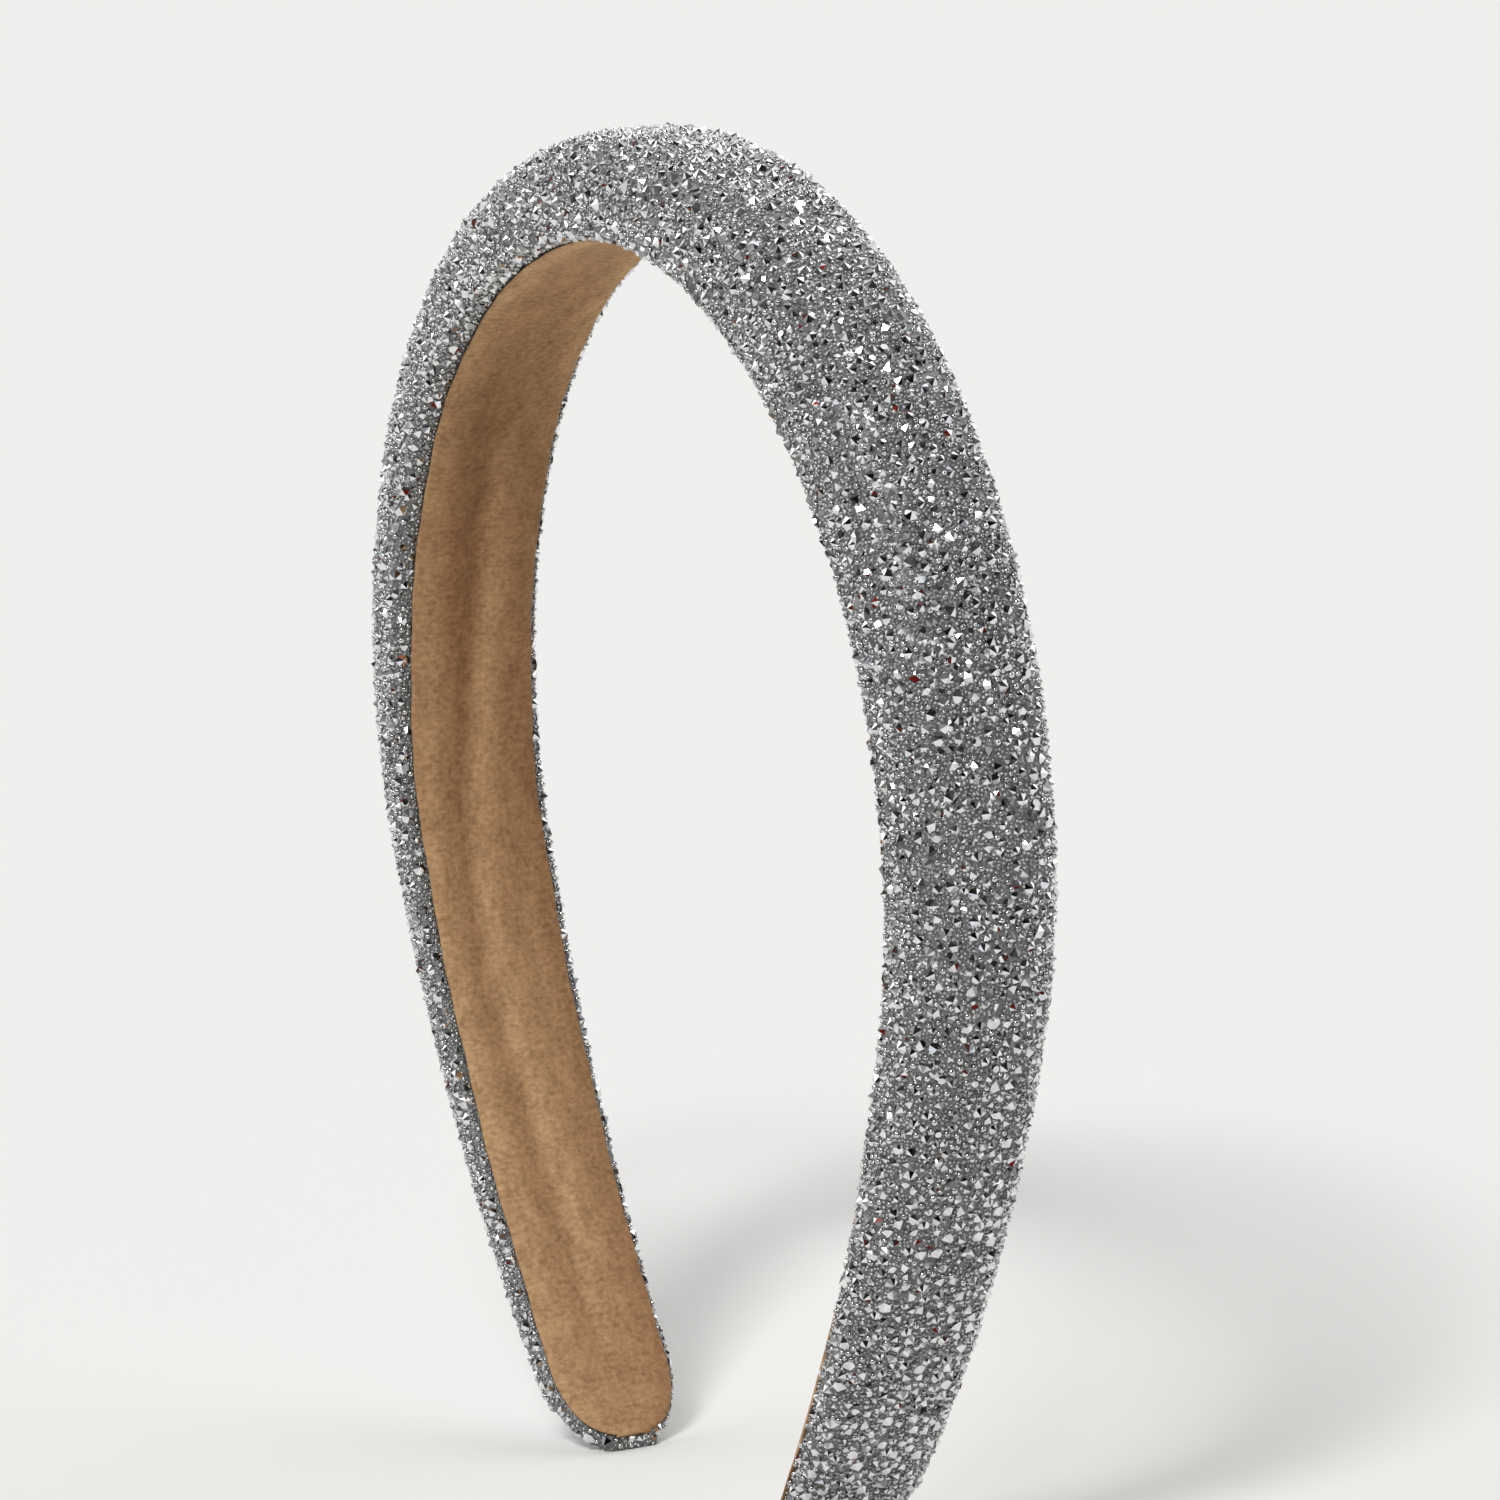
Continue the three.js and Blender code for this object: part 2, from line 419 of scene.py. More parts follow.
def skin(name, grid):
    """A closed smooth skin over a grid of rounds, with a fan point in the middle of each end."""
    rows, columns, _ = grid.shape
    row, column = np.meshgrid(np.arange(rows - 1), np.arange(columns), indexing="ij")
    following = (column + 1) % columns
    quads = np.stack([row * columns + column, row * columns + following,
                      (row + 1) * columns + following, (row + 1) * columns + column], axis=-1)
    first_middle = rows * columns
    last_middle = first_middle + 1
    around = np.arange(columns)
    turned = (around + 1) % columns
    last = (rows - 1) * columns
    first_fan = np.stack([np.full(columns, first_middle), turned, around], axis=-1)
    last_fan = np.stack([np.full(columns, last_middle), last + around, last + turned], axis=-1)
    loops = np.concatenate([quads.ravel(), first_fan.ravel(), last_fan.ravel()])
    sizes = np.concatenate([np.full(quads.size // 4, 4), np.full(2 * columns, 3)])
    return new_mesh(name, per_point(grid), loops, sizes, True)


def copies(name, shape, places, smooth):
    """One joined mesh of many copies of a small shape, each moved by its own 3 by 4 place."""
    shape_points, shape_faces = shape
    moved = np.einsum("nij,pj->npi", places[:, :, :3], shape_points) + places[:, None, :, 3]
    corners = np.concatenate([np.asarray(face) for face in shape_faces])
    sizes = np.array([len(face) for face in shape_faces])
    steps = np.arange(len(places))[:, None] * len(shape_points)
    loops = (steps + corners).ravel()
    return new_mesh(name, moved.reshape(-1, 3), loops, np.tile(sizes, len(places)), smooth)


def paint_faces(piece, colours):
    """Gives every face its own colour, in a colour attribute that the material reads."""
    mesh = piece.data
    totals = np.empty(len(mesh.polygons), np.int32)
    mesh.polygons.foreach_get("loop_total", totals)
    corner_colours = np.repeat(colours, totals, axis=0)
    rgba = np.concatenate([corner_colours, np.ones((len(corner_colours), 1))], axis=1)
    layer = mesh.color_attributes.new(TINT_AND_PAINTED_LIGHT, "FLOAT_COLOR", "CORNER")
    layer.data.foreach_set("color", rgba.astype(np.float32).ravel())


def paint_copies(piece, shape, greys):
    """Gives every copy of a small shape its own grey."""
    face_greys = np.repeat(greys, len(shape[1]))
    paint_faces(piece, face_greys[:, None] * np.ones(3))


# Cloth and padding

def cloth_waves(length, angle):
    """Slanting waves over the cloth, which are added up."""
    waves = np.zeros(np.broadcast_shapes(length.shape, angle.shape))
    for _ in range(CLOTH_WAVES):
        pitch = rng.uniform(*CLOTH_WAVE_PITCH)
        turns = rng.integers(*CLOTH_WAVE_TURNS, endpoint=True)
        phase = rng.uniform(0, FULL_TURN)
        waves += np.sin(FULL_TURN * length / pitch + turns * angle + phase)
    return waves


def cloth_grid():
    """Points of the cloth, row by row along the hoop, which the lining hides and their room to its edge."""
    length = rows_along(HALF_LENGTH, TIP_ROUNDING, CLOTH_ROWS)[:, None]
    angle = np.linspace(0, FULL_TURN, CLOTH_COLUMNS, endpoint=False)[None, :]
    half_width, pad, belly = band_at(length)
    outside = np.sin(angle) >= 0
    power = 2 / np.where(outside, PAD_SQUARENESS, BELLY_SQUARENESS)
    cos_part = np.sign(np.cos(angle)) * np.abs(np.cos(angle)) ** power
    sin_part = np.abs(np.sin(angle)) ** power
    inset = 0.5 * (FRONT_INSET + BACK_INSET) + 0.5 * (BACK_INSET - FRONT_INSET) * np.cos(angle)
    inset = np.minimum(inset, GREATEST_INSET_SHARE * np.minimum(half_width, pad + belly))
    across = (half_width - inset) * cos_part
    outward = np.where(outside, np.maximum(pad - inset, LEAST_PAD_SHARE * pad), -belly) * sin_part
    unevenness = CLOTH_WAVE_HEIGHT * cloth_waves(length, angle) * sin_part
    outward = outward + np.where(outside, unevenness, 0)
    grid = placed(hoop_at(length), across, outward)
    grid[..., 2] = np.maximum(grid[..., 2], 0)
    past_lining = np.abs(across - lining_drift(length)) - lining_half_width(length)
    hidden = (outward < -HIDDEN_BELLY_SHARE * belly) & (past_lining < 0)
    edge_room = np.where(outward < 0, past_lining, CROWN_WIDTH)
    return grid, hidden, edge_room


def grid_normals(grid):
    """Outward unit normals of the cloth's grid."""
    along = np.gradient(grid, axis=0)
    around = 0.5 * (np.roll(grid, -1, axis=1) - np.roll(grid, 1, axis=1))
    normal = np.cross(around, along)
    return normal / np.maximum(np.linalg.norm(normal, axis=-1, keepdims=True), LEAST_NORMAL)


# Scattering

def patches(points, pitch, seed):
    """Smooth random patches over the cloth, about 0 on average and mostly within 1."""
    local = np.random.default_rng(seed)
    waves = local.normal(size=(PATCH_WAVES, 3))
    spread = local.uniform(*PATCH_SPREAD, (PATCH_WAVES, 1))
    waves *= (FULL_TURN / pitch) * spread / np.linalg.norm(waves, axis=1, keepdims=True)
    phases = local.uniform(0, FULL_TURN, PATCH_WAVES)
    return np.sin(points @ waves.T + phases).sum(axis=1) / math.sqrt(PATCH_WAVES)


def patchy(points, average, pitch, seed):
    """Chance that something lies at each point, which rises and falls from patch to patch."""
    return np.clip(average + PATCH_DEPTH * patches(points, pitch, seed), LEAST_CHANCE, 1)


class Scatter:
    """Random places on the cloth that keep clear of one another, looked up by the cells that they lie in."""

    CELL = 1.5

    def __init__(self, grid, hidden, edge_room):
        self.grid = grid
        self.normals = grid_normals(grid)
        self.edge_room = edge_room
        following = np.roll(grid, -1, axis=1)
        along = grid[1:] - grid[:-1]
        around = (following - grid)[:-1]
        area = np.linalg.norm(np.cross(along, around), axis=-1)
        area[hidden[:-1]] = 0
        self.share = np.cumsum(area.ravel()) / area.sum()
        self.taken = {}

    def candidates(self, count):
        """Points spread evenly over the bare cloth, with their normals and their room to the lining."""
        patch = np.searchsorted(self.share, rng.random(count))
        row, column = np.divmod(patch, self.grid.shape[1])
        up, over = rng.random((2, count, 1))
        following = (column + 1) % self.grid.shape[1]

        def blended(field):
            low = field[row, column] * (1 - over) + field[row, following] * over
            high = field[row + 1, column] * (1 - over) + field[row + 1, following] * over
            return low * (1 - up) + high * up

        point = blended(self.grid)
        normal = blended(self.normals)
        room = blended(self.edge_room[..., None])[:, 0]
        return point, normal / np.linalg.norm(normal, axis=1, keepdims=True), room

    def pick(self, wanted, tries, radius_range, spacing, edge_share, chances, stone_share=1.0):
        """Up to the wanted number of places, with their normals and the radius of what goes there."""
        points, normals, rooms = self.candidates(tries)
        radii = rng.uniform(*radius_range, tries)
        fits = (rooms > edge_share * radii) & (points[:, 2] > radii + FLOOR_ROOM)
        fits &= rng.random(tries) < patchy(points, **chances)
        cells = np.floor(points / self.CELL).astype(int)
        chosen = []
        for index in np.flatnonzero(fits):
            if len(chosen) == wanted:
                break
            cell = tuple(cells[index])
            if self.is_free(points[index], radii[index], cell, spacing, stone_share):
                self.taken.setdefault(cell, []).append((*points[index], radii[index]))
                chosen.append(index)
        return points[chosen], normals[chosen], radii[chosen]

    def is_free(self, point, radius, cell, spacing, stone_share):
        """Whether nothing nearby is too close, where a stone counts with a share of its radius."""
        x, y, z = point
        for near in itertools.product(*((step - 1, step, step + 1) for step in cell)):
            for other_x, other_y, other_z, other in self.taken.get(near, ()):
                claim = stone_share if other >= STONE_RADIUS[0] else 1.0
                room = (radius + other * claim) * spacing
                if (x - other_x) ** 2 + (y - other_y) ** 2 + (z - other_z) ** 2 < room * room:
                    return False
        return True


def random_sides(axes):
    """Unit vectors square to the axes, each turned at random."""
    side = np.cross(axes, rng.normal(size=axes.shape))
    return side / np.linalg.norm(side, axis=1, keepdims=True)


def turned_places(points, axes, radii):
    """3 by 4 places that stand small shapes along their axes, each turned at random."""
    side = random_sides(axes)
    third = np.cross(axes, side)
    frames = np.stack([side, third, axes], axis=-1) * radii[:, None, None]
    return np.concatenate([frames, points[:, :, None]], axis=2)


def leaning(normals, lean):
    """Directions that lean from the normals by the given angles, each to a random side."""
    return normals * np.cos(lean)[:, None] + random_sides(normals) * np.sin(lean)[:, None]


# Small shapes, for a radius of one

def ring(sides, radius, height, twist=0.0):
    """Corners of a level polygon, turned by a share of one side."""
    angle = FULL_TURN * (np.arange(sides) + twist) / sides
    return np.stack([radius * np.cos(angle), radius * np.sin(angle), np.full(sides, height)], axis=1)


def dome_ring(sides, from_top, twist=0.0):
    """Corners of a ring on a ball, at an angle in degrees from its top."""
    angle = math.radians(from_top)
    return ring(sides, math.sin(angle), math.cos(angle), twist)


def band_faces(lower, upper, sides):
    """Faces between two rings, given the number of each ring's first corner."""
    pairs = [(i, (i + 1) % sides) for i in range(sides)]
    return [(lower + i, lower + after, upper + after, upper + i) for i, after in pairs]


def fan_faces(first, top, sides):
    """Faces from a ring up to one point, given the number of the ring's first corner."""
    return [(first + i, first + (i + 1) % sides, top) for i in range(sides)]


def base_face(first, sides):
    """The face that closes a ring from below."""
    return tuple(reversed(range(first, first + sides)))


def chaton(sides):
    """A chaton: flat facets from its girdle up to a point, and a crown with a flat table below."""
    girdle = ring(sides, 1, 0)
    table = ring(sides, STONE_TABLE, -STONE_CROWN)
    points = np.concatenate([girdle, table, [[0, 0, STONE_POINT]]])
    faces = fan_faces(0, 2 * sides, sides) + band_faces(sides, 0, sides) + [base_face(sides, sides)]
    return points, faces


def pearl_shape():
    """A round bead's dome, with a closed base under the cloth's surface."""
    sides = PEARL_SIDES
    rings = [dome_ring(sides, from_top) for from_top in PEARL_RINGS]
    points = np.concatenate([*rings, [[0, 0, 1]]])
    faces = [base_face(0, sides)]
    faces += band_faces(0, sides, sides) + band_faces(sides, 2 * sides, sides)
    faces += fan_faces(2 * sides, 3 * sides, sides)
    return points, faces


def bead_shape():
    """A microbead's dome, with a closed base under the cloth's surface."""
    sides = BEAD_SIDES
    base = dome_ring(sides, BEAD_BASE)
    middle = dome_ring(sides, BEAD_RING, BEAD_TWIST)
    points = np.concatenate([base, middle, [[0, 0, 1]]])
    faces = [base_face(0, sides)]
    for i in range(sides):
        after = (i + 1) % sides
        faces.append((i, after, sides + i))
        faces.append((after, sides + after, sides + i))
        faces.append((sides + i, sides + after, 2 * sides))
    return points, faces


# Lining

def edge_waves(share, length):
    """How far the lining's uneven edges reach, as a share of its even width."""
    long_wave = LONG_EDGE_WAVE * np.sin(FULL_TURN * length / LONG_EDGE_PITCH + LONG_EDGE_SLANT * share)
    short_wave = SHORT_EDGE_WAVE * np.sin(FULL_TURN * length / SHORT_EDGE_PITCH)
    return 1 + long_wave + short_wave


def lining_relief(share, length):
    """Soft lengthwise folds of the suede, where it lies over the folded edges of the cloth."""
    run = np.abs(length)
    shift = FOLD_SHIFT * (1 - smooth_step(run, *FOLD_SHIFT_FADE))
    place = share - FOLD_WAVER * np.cos(FULL_TURN * length / FOLD_WAVER_PITCH) - shift
    folds = sum(height * bell(place, middle, reach) for middle, reach, height in LINING_FOLDS)
    fade = smooth_step(run, *FOLDS_RISE) * smooth_step(HALF_LENGTH - run, *FOLDS_FADE_FROM_END)
    return fade * folds


def lining_painted_light(share, length):
    """Painted light and shade: paler by the front edge and over the crown, darker over the legs' back edge.
    """
    run = np.abs(length)
    # Painted shade over the shoulders and painted light along the legs
    along = CROWN_PAINTED_LIGHT - SHOULDER_PAINTED_SHADE * smooth_step(run, *SHOULDER_PAINTED_SHADE_RISE)
    along = along + LEG_PAINTED_LIGHT * smooth_step(run, *LEG_PAINTED_LIGHT_RISE)
    # Painted shading on the folds: lighter where a fold rises towards the back edge, darker where it falls
    rise = lining_relief(share + FOLD_SLOPE_STEP, length) - lining_relief(share - FOLD_SLOPE_STEP, length)
    slope = rise / (2 * FOLD_SLOPE_STEP)
    # Painted light along the front edge, and along the back edge over the crown; painted shade along the
    # legs' back edge
    over_crown = 1 - smooth_step(run, *CROWN_PAINTED_LIGHT_FADE)
    on_leg = smooth_step(run, *BACK_LEG_PAINTED_SHADE_RISE)
    front_painted_light = FRONT_EDGE_PAINTED_LIGHT + FRONT_CROWN_PAINTED_LIGHT * over_crown
    back_painted_light = BACK_CROWN_PAINTED_LIGHT * over_crown - BACK_LEG_PAINTED_SHADE * on_leg
    front_edge = smooth_step(-share, *EDGE_PLACES) * front_painted_light
    back_edge = smooth_step(share, *EDGE_PLACES) * back_painted_light
    # Painted shade in the hollow of each shoulder
    shoulder = smooth_step(run, *HOLLOW_RISE) * (1 - smooth_step(run, *HOLLOW_FADE))
    hollow = HOLLOW_PAINTED_SHADE * shoulder * bell(share, HOLLOW_PLACE, HOLLOW_REACH)
    return along + FOLD_PAINTED_SHADING * slope + front_edge + back_edge - hollow


def lining_grid():
    """Lining points by rows, the same points laid flat, its painted light and shade, and the rows' lengths.
    """
    half_length = HALF_LENGTH - LINING_END_RIM
    length = rows_along(half_length, LINING_ROUNDING, LINING_ROWS)[:, None]
    length = np.clip(length, -half_length + LINING_END_TRIM, half_length - LINING_END_TRIM)
    face_share = np.sin(np.linspace(-0.5 * math.pi, 0.5 * math.pi, LINING_COLUMNS))
    back_share = np.linspace(1, -1, LINING_BACK_COLUMNS + 2)[1:-1]
    share = np.concatenate([face_share, back_share])[None, :]
    is_face = (np.arange(share.size) < LINING_COLUMNS)[None, :]
    band_half, _, belly = band_at(length)
    lining_half = lining_half_width(length)
    across = share * lining_half * edge_waves(share, length) + lining_drift(length)
    reach = np.clip(np.abs(across) / band_half, 0, 1)
    back = belly * (1 - reach ** BELLY_SQUARENESS) ** (1 / BELLY_SQUARENESS) + GLUE_GAP
    softened = (1 - np.abs(share) ** EDGE_SQUARENESS) ** (1 / EDGE_ROUNDNESS)
    thickness = LINING_THICKNESS * (EDGE_THICKNESS_SHARE + (1 - EDGE_THICKNESS_SHARE) * softened)
    face = back + thickness + lining_relief(share, length) * softened
    points = placed(hoop_at(length), across, -np.where(is_face, face, back))
    layer = np.where(is_face, 0.0, FLAT_BACK_GAP)
    flat = np.stack(np.broadcast_arrays(share * lining_half, length, layer), axis=-1)
    return points, flat, lining_painted_light(share, length), length


# Materials

def new_material(name):
    """A material with its nodes, its links and its shader."""
    material = bpy.data.materials.new(name)
    material.use_nodes = True
    nodes = material.node_tree.nodes
    return material, nodes, material.node_tree.links, nodes["Principled BSDF"]


def painted_tint(nodes):
    """The colour painted on the mesh: foil and bead tints, and painted light and shade on the suede."""
    tint = nodes.new("ShaderNodeVertexColor")
    tint.layer_name = TINT_AND_PAINTED_LIGHT
    return tint.outputs["Color"]


def map_range(nodes, links, source, shape="LINEAR", start=(0, 1), end=(0, 1)):
    """A value that is carried from the start range to the end range."""
    carried = nodes.new("ShaderNodeMapRange")
    carried.interpolation_type = shape
    carried.inputs["From Min"].default_value = start[0]
    carried.inputs["From Max"].default_value = start[1]
    carried.inputs["To Min"].default_value = end[0]
    carried.inputs["To Max"].default_value = end[1]
    links.new(source, carried.inputs["Value"])
    return carried.outputs["Result"]


def raised(nodes, links, shader, height, distance):
    """Makes a material look raised by a height that is at most the distance."""
    bump = nodes.new("ShaderNodeBump")
    bump.inputs["Strength"].default_value = 1.0
    bump.inputs["Distance"].default_value = distance
    links.new(height, bump.inputs["Height"])
    links.new(bump.outputs["Normal"], shader.inputs["Normal"])


def noise(nodes, links, source, stretch, scale, detail, roughness):
    """Noise over a vector that is stretched by three factors first."""
    stretched = nodes.new("ShaderNodeVectorMath")
    stretched.operation = "MULTIPLY"
    stretched.inputs[1].default_value = stretch
    links.new(source, stretched.inputs[0])
    texture = nodes.new("ShaderNodeTexNoise")
    texture.inputs["Scale"].default_value = scale
    texture.inputs["Detail"].default_value = detail
    texture.inputs["Roughness"].default_value = roughness
    links.new(stretched.outputs["Vector"], texture.inputs["Vector"])
    return texture.outputs["Fac"]


def tinted_metal(name, roughness):
    """Bright metal foil whose colour comes from each facet's own tint."""
    material, nodes, links, shader = new_material(name)
    links.new(painted_tint(nodes), shader.inputs["Base Color"])
    shader.inputs["Metallic"].default_value = 1.0
    shader.inputs["Roughness"].default_value = roughness
    return material


def glitter_base():
    """Cloth under the stones, covered in silver beads too fine to model, with painted shade between them."""
    material, nodes, links, shader = new_material("glitter_base")
    place = nodes.new("ShaderNodeTexCoord")
    grain = nodes.new("ShaderNodeTexVoronoi")
    grain.inputs["Scale"].default_value = 1 / (GRAIN_SIZE * MM)
    links.new(place.outputs["Object"], grain.inputs["Vector"])
    split = nodes.new("ShaderNodeSeparateColor")
    links.new(grain.outputs["Color"], split.inputs["Color"])
    dome = map_range(nodes, links, grain.outputs["Distance"], "SMOOTHSTEP", start=GRAIN_DOME)
    silver = map_range(nodes, links, split.outputs["Red"], end=GRAIN_SILVER)
    # Painted shade in the gaps between the grain's beads, darkening the silver there
    gaps = map_range(nodes, links, dome, end=(GRAIN_GAP_PAINTED_SHADE, 1))
    shade = nodes.new("ShaderNodeMath")
    shade.operation = "MULTIPLY"
    links.new(silver, shade.inputs[0])
    links.new(gaps, shade.inputs[1])
    links.new(shade.outputs["Value"], shader.inputs["Base Color"])
    raised(nodes, links, shader, dome, GRAIN_HEIGHT * MM)
    shader.inputs["Metallic"].default_value = 0.6
    shader.inputs["Roughness"].default_value = 0.38
    return material


def suede():
    """Tan faux suede: a short brushed nap, mottled, times the painted light and shade on the mesh."""
    material, nodes, links, shader = new_material("tan_suede")
    flat = nodes.new("ShaderNodeAttribute")
    flat.attribute_name = "flat"
    laid_out = flat.outputs["Vector"]
    mottle = noise(nodes, links, laid_out, MOTTLE_STRETCH, MOTTLE_SCALE, detail=8, roughness=0.78)
    nap = noise(nodes, links, laid_out, NAP_STRETCH, NAP_SCALE, detail=2, roughness=0.55)
    mixed = nodes.new("ShaderNodeMix")
    mixed.inputs["Factor"].default_value = NAP_SHARE
    links.new(mottle, mixed.inputs["A"])
    links.new(nap, mixed.inputs["B"])
    shade = nodes.new("ShaderNodeValToRGB")
    dark, pale = shade.color_ramp.elements
    dark.position = SUEDE_DARK_AT
    dark.color = SUEDE_DARK
    pale.position = SUEDE_PALE_AT
    pale.color = SUEDE_PALE
    links.new(mixed.outputs["Result"], shade.inputs["Fac"])
    # The ramp's colour times the painted light and shade that the mesh carries
    painted = nodes.new("ShaderNodeVectorMath")
    painted.operation = "MULTIPLY"
    links.new(shade.outputs["Color"], painted.inputs[0])
    links.new(painted_tint(nodes), painted.inputs[1])
    links.new(painted.outputs["Vector"], shader.inputs["Base Color"])
    raised(nodes, links, shader, nap, NAP_HEIGHT * MM)
    shader.inputs["Roughness"].default_value = 0.95
    shader.inputs["Specular IOR Level"].default_value = 0.2
    shader.inputs["Sheen Weight"].default_value = 0.12
    shader.inputs["Sheen Roughness"].default_value = 0.4
    shader.inputs["Sheen Tint"].default_value = SUEDE_SHEEN
    return material


def pale_floor():
    """Matt floor in the backdrop's tone."""
    material, _, _, shader = new_material("pale_floor")
    shader.inputs["Base Color"].default_value = FLOOR_COLOUR
    shader.inputs["Roughness"].default_value = 0.9
    shader.inputs["Specular IOR Level"].default_value = 0.0
    return material


# Pieces

def dress(piece, material):
    """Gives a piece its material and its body."""
    piece.data.materials.append(material)
    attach(piece, BODY)


def make_cloth(grid):
    """The cover of the padded band, which the stones and beads lie on."""
    cloth = skin("glitter_cloth", grid)
    dress(cloth, glitter_base())
    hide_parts("padded_band")


def facet_tints(count):
    """Foil tints, which differ from facet to facet, and which facets carry a painted red reflection."""
    is_dark = rng.random(count) < DARK_FACET_SHARE
    dark = rng.uniform(*DARK_FACET_GREY, count)
    bright = rng.uniform(*BRIGHT_FACET_GREY, count)
    tints = np.repeat(np.where(is_dark, dark, bright)[:, None], 3, axis=1)
    tints[rng.random(count) < COOL_FACET_SHARE] *= COOL_CAST
    # A few facets get a painted dark red reflection, and fewer a brown one, in place of their grey
    chance = rng.random(count)
    is_red_reflection = chance < PAINTED_RED_REFLECTION_SHARE
    is_brown_reflection = chance > 1 - PAINTED_BROWN_REFLECTION_SHARE
    tints[is_red_reflection] = PAINTED_RED_REFLECTION
    tints[is_brown_reflection] = PAINTED_BROWN_REFLECTION
    return tints, is_red_reflection | is_brown_reflection


def stone_places(points, normals, radii):
    """Places of the stones: point up, table up or on their side, each leaning a little."""
    count = len(points)
    pose = rng.random(count)
    point_up = pose < POINT_UP_SHARE
    on_side = pose > 1 - ON_SIDE_SHARE
    lean = np.abs(rng.normal(0, POINT_UP_LEAN, count))
    lean = np.where(point_up, lean, math.pi - TABLE_UP_LEAN_SHARE * lean)
    lean = np.where(on_side, rng.uniform(*ON_SIDE_LEAN, count), lean)
    height = np.where(point_up, -POINT_UP_SINK, np.where(on_side, -ON_SIDE_SINK, 0.0)) * radii
    return turned_places(points + normals * height[:, None], leaning(normals, lean), radii)


def make_stones(scatter):
    """Stones with six and eight sides, scattered over the bare cloth."""
    picked = scatter.pick(STONE_COUNT, STONE_TRIES, STONE_RADIUS, STONE_SPACING,
                          STONE_EDGE_ROOM, STONE_PATCHES)
    places = stone_places(*picked)
    six_sided = rng.random(len(places)) < SIX_SIDED_SHARE
    foil = tinted_metal("stone_foil", FOIL_ROUGHNESS)
    # Facets with the painted red reflection take their own rougher foil
    red_reflection_foil = tinted_metal("red_reflection_foil", RED_REFLECTION_ROUGHNESS)
    for name, sides, part in (("stones_six", 6, six_sided), ("stones_eight", 8, ~six_sided)):
        piece = copies(name, chaton(sides), places[part], False)
        tints, has_red_reflection = facet_tints(len(piece.data.polygons))
        paint_faces(piece, tints)
        dress(piece, foil)
        piece.data.materials.append(red_reflection_foil)
        piece.data.polygons.foreach_set("material_index", has_red_reflection.astype(np.int32))


def make_pearls(scatter):
    """Round beads in the wider gaps."""
    points, normals, radii = scatter.pick(PEARL_COUNT, PEARL_TRIES, PEARL_RADIUS, PEARL_SPACING,
                                          PEARL_EDGE_ROOM, PEARL_PATCHES, STONE_SHARE_FOR_BEADS)
    places = turned_places(points + normals * (PEARL_LIFT * radii)[:, None], normals, radii)
    shape = pearl_shape()
    piece = copies("round_beads", shape, places, True)
    paint_copies(piece, shape, rng.uniform(*PEARL_GREY, len(places)))
    dress(piece, tinted_metal("silvered_glass", PEARL_ROUGHNESS))


def make_beads(scatter):
    """Microbeads in the gaps that are left, in a few meshes from one side of the hoop to the other."""
    points, normals, radii = scatter.pick(BEAD_COUNT, BEAD_TRIES, BEAD_RADIUS, BEAD_SPACING,
                                          BEAD_EDGE_ROOM, BEAD_PATCHES, STONE_SHARE_FOR_BEADS)
    places = turned_places(points + normals * (BEAD_LIFT * radii)[:, None], normals, radii)
    order = np.argsort(points[:, 0])
    silver = tinted_metal("bead_silver", BEAD_ROUGHNESS)
    shape = bead_shape()
    for index, part in enumerate(np.array_split(order, BEAD_PIECES)):
        piece = copies(f"microbeads_{index + 1}", shape, places[part], True)
        paint_copies(piece, shape, rng.uniform(*BEAD_GREY, len(part)))
        dress(piece, silver)


def make_lining():
    """The suede strip inside the hoop, with its flat layout and its painted light and shade as attributes."""
    points, flat, tone, length = lining_grid()
    lining = skin("suede_strip", points)
    laid_flat = lining.data.attributes.new("flat", "FLOAT_VECTOR", "POINT")
    laid_flat.data.foreach_set("vector", (per_point(flat) * MM).astype(np.float32).ravel())
    # The suede's painted light and shade, with red, green and blue following it by their powers
    shade = np.stack([*(tone ** power for power in PAINTED_LIGHT_POWERS), np.ones_like(tone)], axis=-1)
    tint = lining.data.color_attributes.new(TINT_AND_PAINTED_LIGHT, "FLOAT_COLOR", "POINT")
    tint.data.foreach_set("color", per_point(shade).astype(np.float32).ravel())
    dress(lining, suede())
    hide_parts("suede_lining")


# Stage

def make_floor():
    """A wide floor that runs into the backdrop."""
    bpy.ops.mesh.primitive_plane_add(size=FLOOR_SIDE * MM)
    floor = bpy.context.object
    floor.name = "floor"
    floor.data.materials.append(pale_floor())


def direction(azimuth, elevation):
    """Unit vector towards a place in the studio. Its azimuth in degrees is measured from the camera's."""
    turn = math.radians(CAMERA_AZIMUTH) + math.radians(azimuth)
    rise = math.radians(elevation)
    return Vector((math.sin(turn) * math.cos(rise), -math.cos(turn) * math.cos(rise), math.sin(rise)))


def make_camera():
    """The photograph's camera. The lower edge of its picture cuts off the near tip."""
    azimuth = math.radians(CAMERA_AZIMUTH)
    roll = math.radians(CAMERA_ROLL)
    back = direction(0, CAMERA_ELEVATION)
    level = Vector((math.cos(azimuth), math.sin(azimuth), 0))
    upright = back.cross(level)
    right = math.cos(roll) * level + math.sin(roll) * upright
    up = back.cross(right)
    aim = Vector((0, 0, AIM_HEIGHT)) + AIM_RIGHT * right + AIM_UP * up
    eye = (aim + CAMERA_DISTANCE * back) * MM
    data = bpy.data.cameras.new("camera")
    data.sensor_width = SENSOR_WIDTH
    data.lens = FOCAL_PIXELS / IMAGE_SIDE * SENSOR_WIDTH
    camera = bpy.data.objects.new("camera", data)
    camera.matrix_world = Matrix.Translation(eye) @ Matrix((right, up, back)).transposed().to_4x4()
    bpy.context.scene.collection.objects.link(camera)
    bpy.context.scene.camera = camera


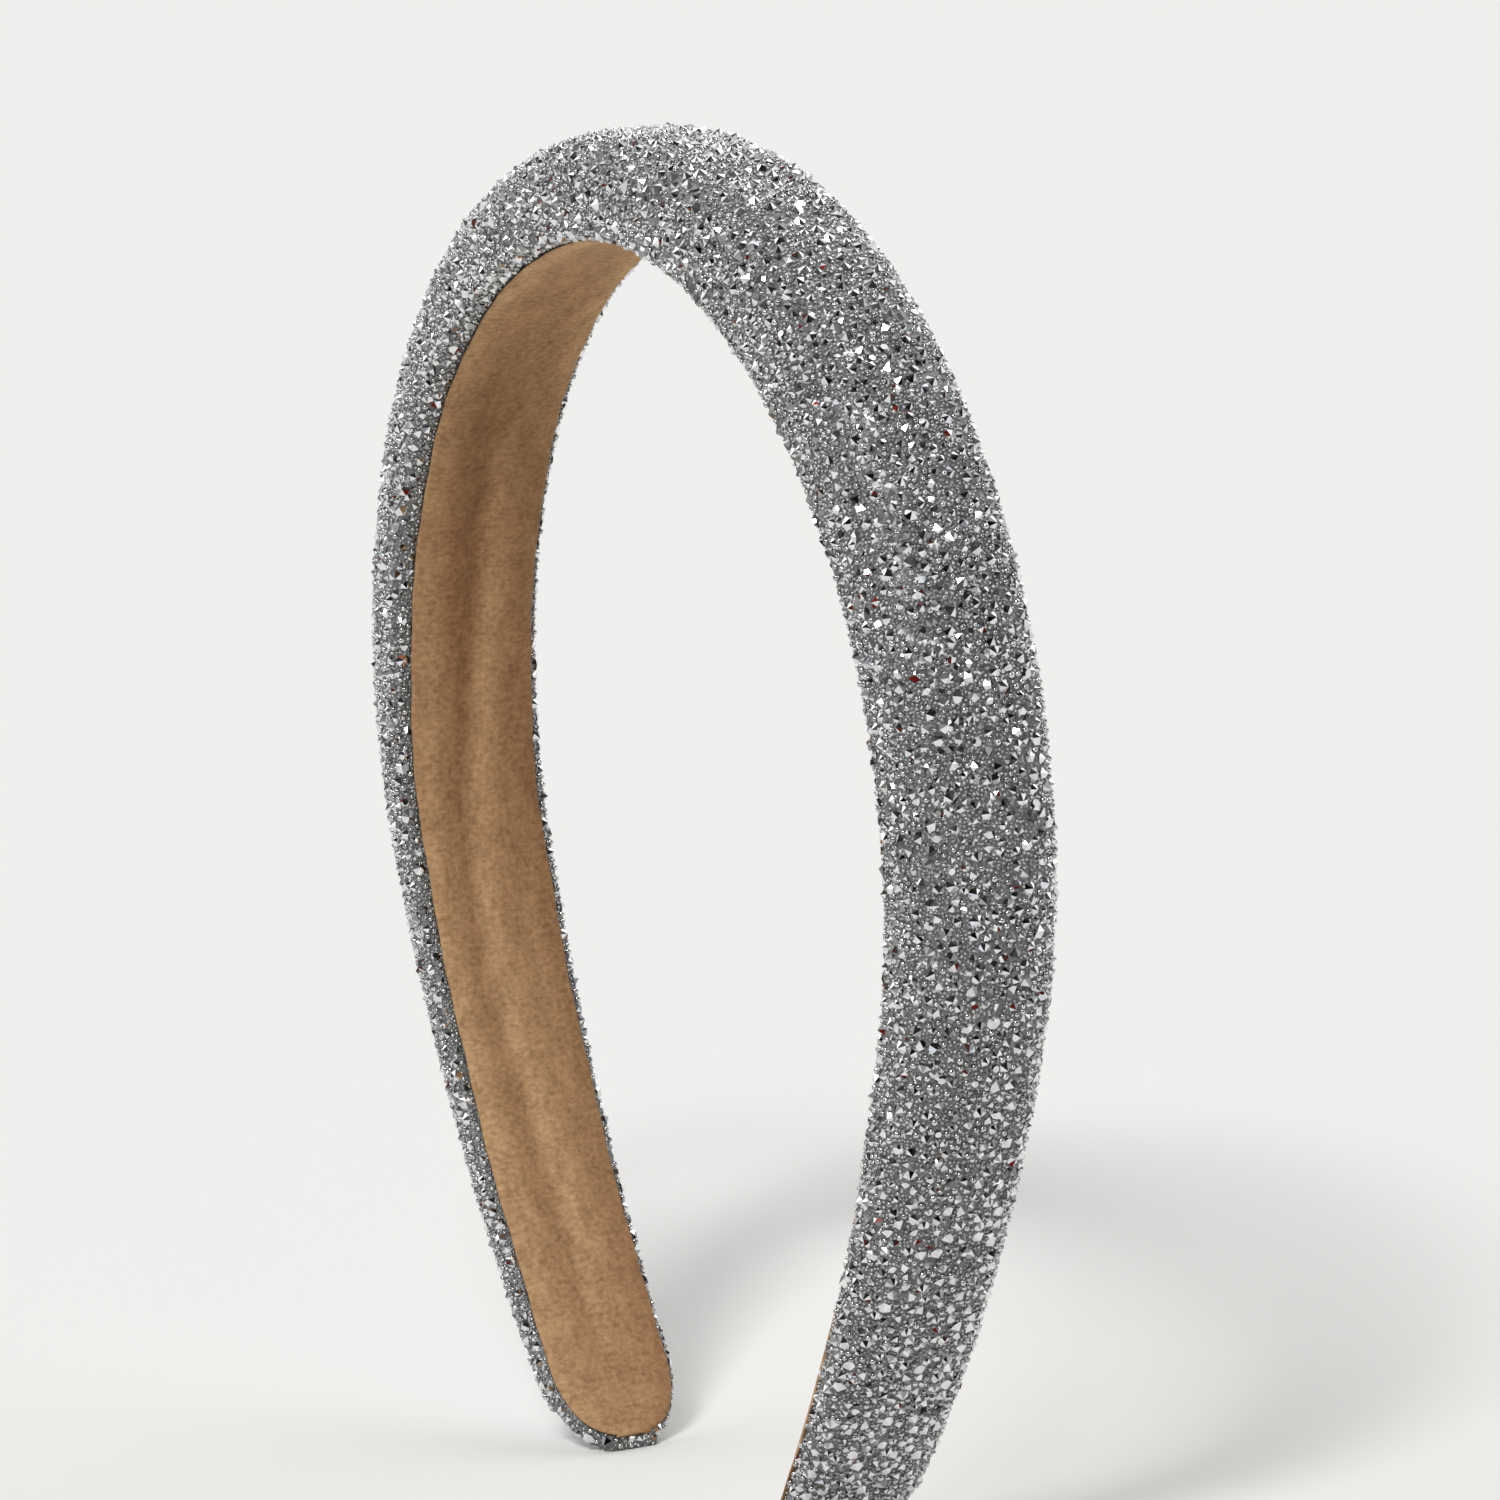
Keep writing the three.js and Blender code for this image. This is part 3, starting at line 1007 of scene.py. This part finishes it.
def add_sun(name, azimuth, elevation, strength, angle):
    """A distant softbox that lights the floor evenly."""
    data = bpy.data.lights.new(name, "SUN")
    data.energy = strength
    data.angle = math.radians(angle)
    lamp = bpy.data.objects.new(name, data)
    lamp.rotation_euler = direction(azimuth, elevation).to_track_quat("Z", "Y").to_euler()
    bpy.context.scene.collection.objects.link(lamp)


def panel_light(nodes, links, place, azimuth, elevation, reach, strength):
    """Strength of a soft panel on the studio's walls, full within half its reach in degrees."""
    along = nodes.new("ShaderNodeVectorMath")
    along.operation = "DOT_PRODUCT"
    along.inputs[1].default_value = direction(azimuth, elevation)
    links.new(place.outputs["Generated"], along.inputs[0])
    edge = math.cos(math.radians(reach))
    full = math.cos(math.radians(0.5 * reach))
    return map_range(nodes, links, along.outputs["Value"], "SMOOTHSTEP", (edge, full), (0, strength))


def wall_light(nodes, links, place):
    """Strength of the studio's pale walls and of the dark ceiling that they end at."""
    split = nodes.new("ShaderNodeSeparateXYZ")
    links.new(place.outputs["Generated"], split.inputs["Vector"])
    rise = (math.sin(math.radians(WALL_END)), math.sin(math.radians(CEILING_START)))
    return map_range(nodes, links, split.outputs["Z"], "SMOOTHSTEP", rise, (WALL_LIGHT, CEILING_LIGHT))


def make_world():
    """A dim studio for light and reflections, shown as an even pale background."""
    world = bpy.data.worlds.new("studio")
    bpy.context.scene.world = world
    world.use_nodes = True
    nodes, links = world.node_tree.nodes, world.node_tree.links
    nodes.clear()
    place = nodes.new("ShaderNodeTexCoord")
    total = wall_light(nodes, links, place)
    for panel in STUDIO_PANELS:
        both = nodes.new("ShaderNodeMath")
        links.new(total, both.inputs[0])
        links.new(panel_light(nodes, links, place, *panel), both.inputs[1])
        total = both.outputs["Value"]
    studio = nodes.new("ShaderNodeBackground")
    links.new(total, studio.inputs["Strength"])
    backdrop = nodes.new("ShaderNodeBackground")
    backdrop.inputs["Color"].default_value = BACKDROP_COLOUR
    path = nodes.new("ShaderNodeLightPath")
    choice = nodes.new("ShaderNodeMixShader")
    output = nodes.new("ShaderNodeOutputWorld")
    links.new(path.outputs["Is Camera Ray"], choice.inputs["Fac"])
    links.new(studio.outputs["Background"], choice.inputs[1])
    links.new(backdrop.outputs["Background"], choice.inputs[2])
    links.new(choice.outputs["Shader"], output.inputs["Surface"])


def make_stage():
    """The floor, camera, studio and lamps."""
    make_floor()
    make_camera()
    make_world()
    for lamp in STUDIO_LAMPS:
        add_sun(*lamp)
    bpy.context.scene.view_settings.view_transform = "Standard"


def main():
    """Builds the headband from the cloth outwards, then its lining and its stage."""
    grid, hidden, edge_room = cloth_grid()
    make_cloth(grid)
    scatter = Scatter(grid, hidden, edge_room)
    make_stones(scatter)
    make_pearls(scatter)
    make_beads(scatter)
    make_lining()
    make_stage()


main()
